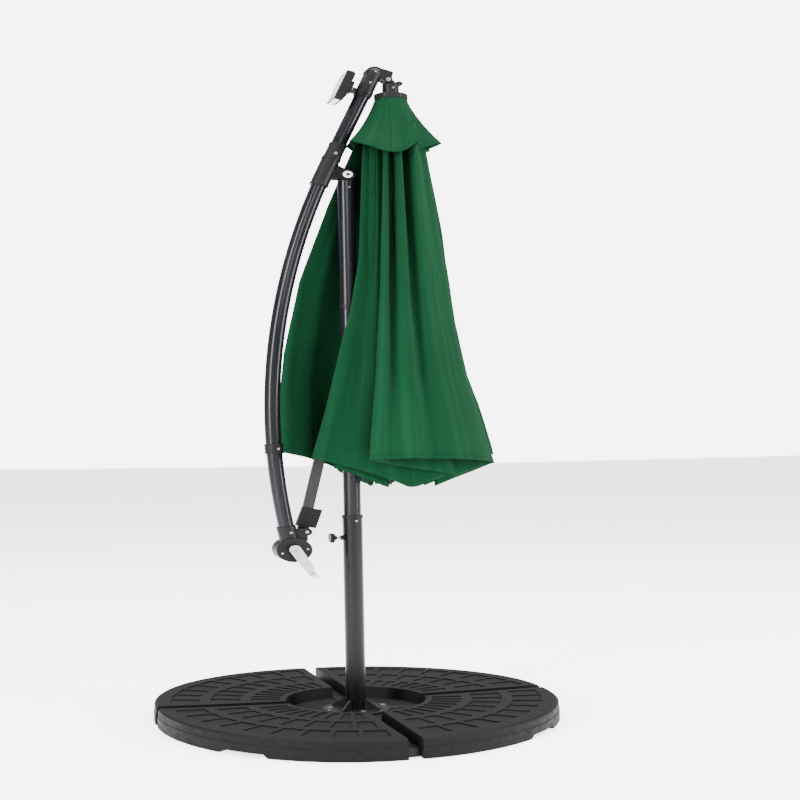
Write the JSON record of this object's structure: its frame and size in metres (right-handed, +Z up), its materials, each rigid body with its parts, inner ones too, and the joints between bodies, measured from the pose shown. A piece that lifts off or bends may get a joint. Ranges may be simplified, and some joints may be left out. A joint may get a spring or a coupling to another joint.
{
  "type": "cantilever patio umbrella",
  "caption": "Folded side-pole patio umbrella with a curved sliding arm, crank, strut, hanging canopy, and a cross base with weight plates.",
  "frame": {"origin": "on the ground under the middle of the base, on the pole's axis", "axes": "+Z up along the pole, +X towards the side the canopy hangs on, +Y towards the back"},
  "size_m": [1, 1, 2.5042],
  "materials": {
    "plate_plastic": "fine-textured charcoal plastic",
    "bar_steel": "dark powder coat",
    "black_plastic": "moulded black plastic",
    "pole_paint": "satin anthracite powder coat",
    "strut_paint": "satin grey powder coat",
    "rib_paint": "satin grey",
    "zinc": "zinc-plated steel",
    "crank_metal": "bright aluminium",
    "pale_plastic": "off-white nylon",
    "rope": "braided cord",
    "canopy_green": "woven polyester, green",
    "solar_glass": "clear cover over cells"
  },
  "bodies": {
    "base": {"base_plate_1": "plate_plastic", "base_plate_2": "plate_plastic", "base_plate_3": "plate_plastic", "base_plate_4": "plate_plastic", "cross_bar_long": "bar_steel", "cross_bar_short": "bar_steel", "bar_end_plugs": "black_plastic", "foot_flange": "bar_steel", "base_screws": "zinc", "lower_pole": "pole_paint", "pole_ferrule": "black_plastic", "pole_bush": "black_plastic", "knob_boss": "black_plastic"},
    "clamp": {"clamp_knob": "black_plastic", "clamp_screw": "zinc"},
    "mast": {"upper_pole": "pole_paint", "mast_ring": "black_plastic", "mast_screws": "zinc", "strut_bracket": "black_plastic", "strut_stud": "zinc", "pole_head": "black_plastic"},
    "sleeve": {"arm_sleeve": "black_plastic", "sleeve_liners": "pale_plastic", "pivot_pin": "zinc", "pivot_washers": "pale_plastic"},
    "arm": {"arm_lower_tube": "pole_paint", "arm_joint_ring": "black_plastic", "arm_mid_tube": "pole_paint", "arm_collar": "black_plastic", "arm_top_tube": "pole_paint", "elbow_fitting": "black_plastic", "arm_screws": "zinc", "hang_pin": "zinc", "crank_rope": "rope", "crank_housing_front": "black_plastic", "crank_housing_back": "black_plastic", "housing_screws": "zinc", "solar_band": "black_plastic", "solar_pin": "zinc"},
    "snap": {"snap_button": "zinc"},
    "pulley": {"elbow_pulley": "pale_plastic"},
    "crank": {"crank_shaft": "zinc", "rope_spool": "pale_plastic", "crank_arm": "crank_metal"},
    "grip": {"crank_grip": "pale_plastic"},
    "strut": {"strut_bar": "strut_paint", "strut_end_fitting": "black_plastic", "strut_rivets": "zinc"},
    "hanger": {"hanger_neck": "black_plastic", "cap_disc": "black_plastic", "rib_hub": "black_plastic", "canopy_stem": "pole_paint", "runner": "black_plastic", "ribs": "rib_paint", "stretchers": "rib_paint", "rib_tips": "black_plastic", "canopy_cloth": "canopy_green", "vent_flap": "canopy_green"},
    "solar": {"solar_housing": "black_plastic", "solar_glass": "solar_glass"}
  },
  "joints": [
    {"name": "arm_lift", "type": "hinge", "parent": "sleeve", "child": "arm", "pos_m": [2.84, 0, 1.158], "axis": [0, 1, 0], "range_deg": [0, 18.8]},
    {"name": "sleeve_tilt", "type": "hinge", "parent": "mast", "child": "sleeve", "pos_m": [0, 0, 2.078], "axis": [0, 1, 0], "range_deg": [0, 38.6]},
    {"name": "strut_swing", "type": "hinge", "parent": "mast", "child": "strut", "pos_m": [-0.016, 0.038, 1.3129], "axis": [0, 1, 0], "range_deg": [0, 139.8]},
    {"name": "canopy_hang", "type": "hinge", "parent": "arm", "child": "hanger", "pos_m": [0.112, 0, 2.456], "axis": [0, 1, 0], "range_deg": [-57.4, 0]},
    {"name": "mast_swivel", "type": "hinge", "parent": "base", "child": "mast", "pos_m": [0, 0, 0.6], "axis": [0, 0, 1], "continuous": true},
    {"name": "knob_turn", "type": "hinge", "parent": "base", "child": "clamp", "pos_m": [-0.04, 0, 0.685], "axis": [1, 0, 0], "continuous": true},
    {"name": "crank_turn", "type": "hinge", "parent": "arm", "child": "crank", "pos_m": [-0.15654, 0, 0.64579], "axis": [0, 1, 0], "continuous": true},
    {"name": "grip_spin", "type": "hinge", "parent": "crank", "child": "grip", "pos_m": [-0.11174, -0.05, 0.54972], "axis": [0, 1, 0], "continuous": true},
    {"name": "pulley_turn", "type": "hinge", "parent": "arm", "child": "pulley", "pos_m": [0.07704, 0, 2.48107], "axis": [0, 1, 0], "continuous": true},
    {"name": "snap_press", "type": "slide", "parent": "arm", "child": "snap", "axis": [0, 1, 0], "range_m": [0, 0.003], "stiffness_N_per_m": 400},
    {"name": "solar_tilt", "type": "hinge", "parent": "arm", "child": "solar", "pos_m": [0.01814, 0, 2.4122], "axis": [0, 1, 0], "range_deg": [-15, 25]}
  ],
  "couplings": [
    {"joint": "sleeve_tilt", "follows": "arm_lift", "ratio": 2.0489},
    {"joint": "strut_swing", "follows": "arm_lift", "ratio": 7.434},
    {"joint": "canopy_hang", "follows": "arm_lift", "ratio": -3.0489},
    {"joint": "pulley_turn", "follows": "crank_turn", "ratio": 1.1}
  ]
}
